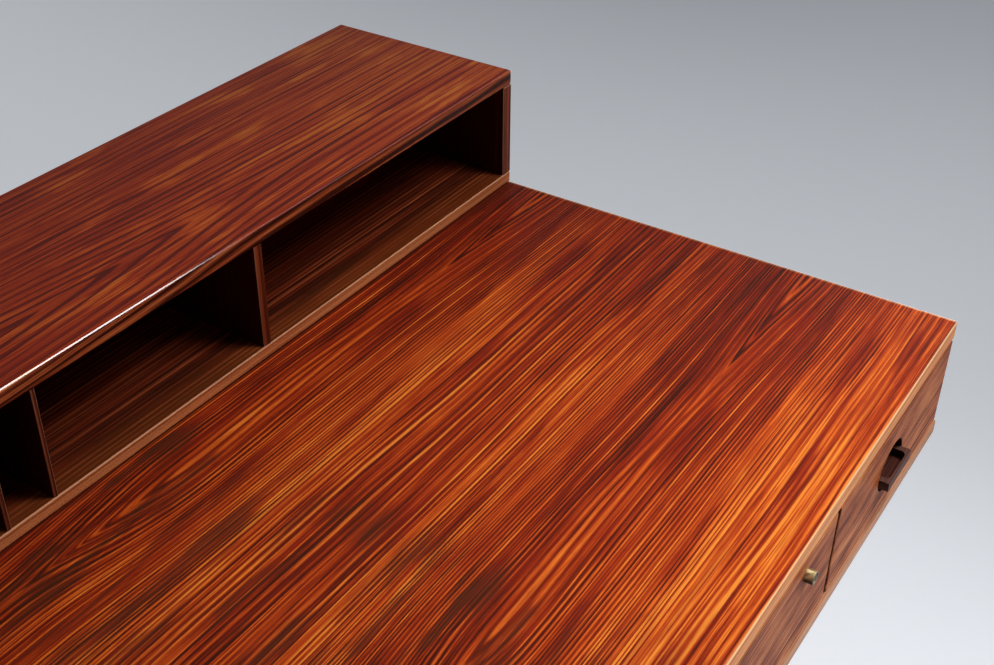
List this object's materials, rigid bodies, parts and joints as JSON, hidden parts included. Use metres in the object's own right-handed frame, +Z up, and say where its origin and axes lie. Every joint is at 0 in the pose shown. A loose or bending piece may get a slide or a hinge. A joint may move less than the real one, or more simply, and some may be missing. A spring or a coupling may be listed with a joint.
{
  "type": "partners desk",
  "caption": "Rosewood flip-top writing desk on sled frames: a row of drawers under the top and a pigeonhole organizer that flips over the rear edge to widen it for two.",
  "frame": {"origin": "on the floor, under the middle of the overall box", "axes": "+X to the right along the width as the user at the drawers sees it, +Y from the drawer fronts towards the rear edge, +Z up"},
  "size_m": [1.615, 0.7624, 0.8603],
  "materials": {
    "rosewood": "oiled straight-grained veneer with a satin sheen",
    "dark_rosewood": "oiled solid heartwood",
    "edge_rosewood": "oiled lighter lipping and inner boards",
    "drawer_wood": "sealed pale hardwood",
    "plywood": "thin veneered plywood",
    "brass": "dull lacquered brass",
    "steel": "plain steel"
  },
  "bodies": {
    "case": {"back_panel": "rosewood", "case_bottom": "edge_rosewood", "centre_partition": "edge_rosewood", "desk_top": "rosewood", "hinge_desk_leaf": "brass", "hinge_pin": "brass", "left_foot": "rosewood", "left_front_leg": "rosewood", "left_partition": "edge_rosewood", "left_rail": "rosewood", "left_rear_leg": "rosewood", "left_side": "rosewood", "right_foot": "rosewood", "right_front_leg": "rosewood", "right_partition": "edge_rosewood", "right_rail": "rosewood", "right_rear_leg": "rosewood", "right_side": "rosewood"},
    "left_drawer": {"left_drawer_front": "rosewood", "left_drawer_left_side": "drawer_wood", "left_drawer_right_side": "drawer_wood", "left_drawer_back": "drawer_wood", "left_drawer_bottom": "plywood", "left_drawer_pull": "dark_rosewood"},
    "left_centre_drawer": {"left_centre_drawer_front": "rosewood", "left_centre_drawer_left_side": "drawer_wood", "left_centre_drawer_right_side": "drawer_wood", "left_centre_drawer_back": "drawer_wood", "left_centre_drawer_bottom": "plywood", "left_centre_drawer_pull": "dark_rosewood"},
    "right_centre_drawer": {"right_centre_drawer_front": "rosewood", "right_centre_drawer_left_side": "drawer_wood", "right_centre_drawer_right_side": "drawer_wood", "right_centre_drawer_back": "drawer_wood", "right_centre_drawer_bottom": "plywood", "right_centre_drawer_pull": "dark_rosewood", "lock_barrel": "brass"},
    "right_drawer": {"right_drawer_front": "rosewood", "right_drawer_left_side": "drawer_wood", "right_drawer_right_side": "drawer_wood", "right_drawer_back": "drawer_wood", "right_drawer_bottom": "plywood", "right_drawer_pull": "dark_rosewood"},
    "lock_plug": {"lock_plug": "brass"},
    "lock_bolt": {"lock_bolt": "steel"},
    "organizer": {"letter_divider_1": "rosewood", "letter_divider_2": "rosewood", "letter_divider_3": "rosewood", "letter_divider_4": "rosewood", "letter_divider_5": "rosewood", "letter_divider_6": "rosewood", "letter_divider_7": "rosewood", "organizer_back": "rosewood", "organizer_floor": "rosewood", "organizer_left_divider": "rosewood", "organizer_left_side": "rosewood", "organizer_right_divider": "rosewood", "organizer_right_side": "rosewood", "organizer_top": "rosewood", "hinge_organizer_leaf": "brass"}
  },
  "joints": [
    {"name": "organizer_flip", "type": "hinge", "parent": "case", "child": "organizer", "pos_m": [0, 0.37875, 0.72515], "axis": [-1, 0, 0], "range_deg": [0, 180]},
    {"name": "left_drawer_slide", "type": "slide", "parent": "case", "child": "left_drawer", "axis": [0, -1, 0], "range_m": [0, 0.38]},
    {"name": "left_centre_drawer_slide", "type": "slide", "parent": "case", "child": "left_centre_drawer", "axis": [0, -1, 0], "range_m": [0, 0.38]},
    {"name": "right_centre_drawer_slide", "type": "slide", "parent": "case", "child": "right_centre_drawer", "axis": [0, -1, 0], "range_m": [0, 0.38]},
    {"name": "right_drawer_slide", "type": "slide", "parent": "case", "child": "right_drawer", "axis": [0, -1, 0], "range_m": [0, 0.38]},
    {"name": "lock_key_turn", "type": "hinge", "parent": "right_centre_drawer", "child": "lock_plug", "pos_m": [0.443, -0.37925, 0.684], "axis": [0, -1, 0], "range_deg": [0, 90]},
    {"name": "lock_bolt_rise", "type": "slide", "parent": "right_centre_drawer", "child": "lock_bolt", "axis": [0, 0, 1], "range_m": [0, 0.007]}
  ],
  "couplings": [
    {"joint": "lock_key_turn", "follows": "lock_bolt_rise", "rad_per_m": 216.92}
  ]
}
